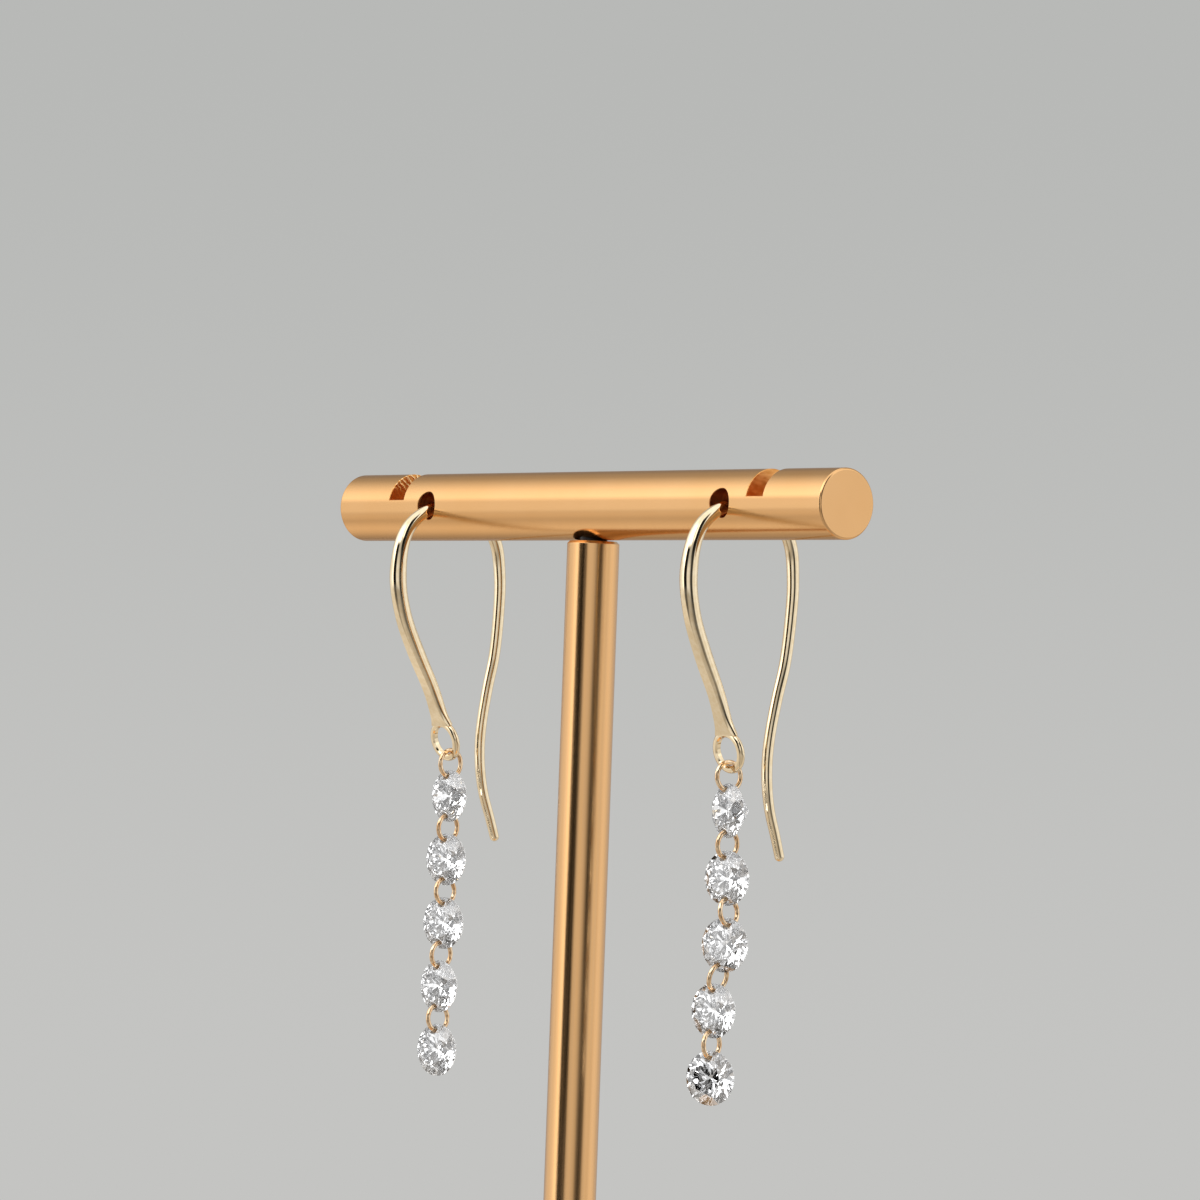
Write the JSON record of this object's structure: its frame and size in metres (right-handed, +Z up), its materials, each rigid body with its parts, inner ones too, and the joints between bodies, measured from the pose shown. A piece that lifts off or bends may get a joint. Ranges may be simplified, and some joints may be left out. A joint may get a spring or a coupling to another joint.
{
  "type": "pair of dangle earrings on a t-bar display stand",
  "caption": "Pair of shepherd-hook drop earrings with drilled round stones on jump rings, hung through the crossbar of a T-shaped metal display stand on a round base.",
  "frame": {"origin": "centre of the base's underside, where the stand meets the table", "axes": "+Z up, X along the crossbar, the hooks' eyes and the stones' tables towards -Y"},
  "size_m": [0.055, 0.05, 0.095],
  "materials": {
    "stand_satin": "satin, fine-brushed round the bar, rose-gold colour",
    "stand_drawn": "drawn and polished lengthwise, rose-gold colour",
    "hook_gold": "mirror-polished pale yellow gold",
    "ring_gold": "mirror-polished, slightly rosier gold",
    "clear_stone": "faceted and polished, colourless, highly refractive"
  },
  "bodies": {
    "root": {"base": "stand_satin", "stem": "stand_drawn", "crossbar": "stand_satin", "ear_hook_left": "hook_gold", "jump_ring_left_1": "ring_gold", "stone_left_1": "clear_stone", "jump_ring_left_2": "ring_gold", "stone_left_2": "clear_stone", "jump_ring_left_3": "ring_gold", "stone_left_3": "clear_stone", "jump_ring_left_4": "ring_gold", "stone_left_4": "clear_stone", "jump_ring_left_5": "ring_gold", "stone_left_5": "clear_stone", "ear_hook_right": "hook_gold", "jump_ring_right_1": "ring_gold", "stone_right_1": "clear_stone", "jump_ring_right_2": "ring_gold", "stone_right_2": "clear_stone", "jump_ring_right_3": "ring_gold", "stone_right_3": "clear_stone", "jump_ring_right_4": "ring_gold", "stone_right_4": "clear_stone", "jump_ring_right_5": "ring_gold", "stone_right_5": "clear_stone"}
  },
  "joints": []
}
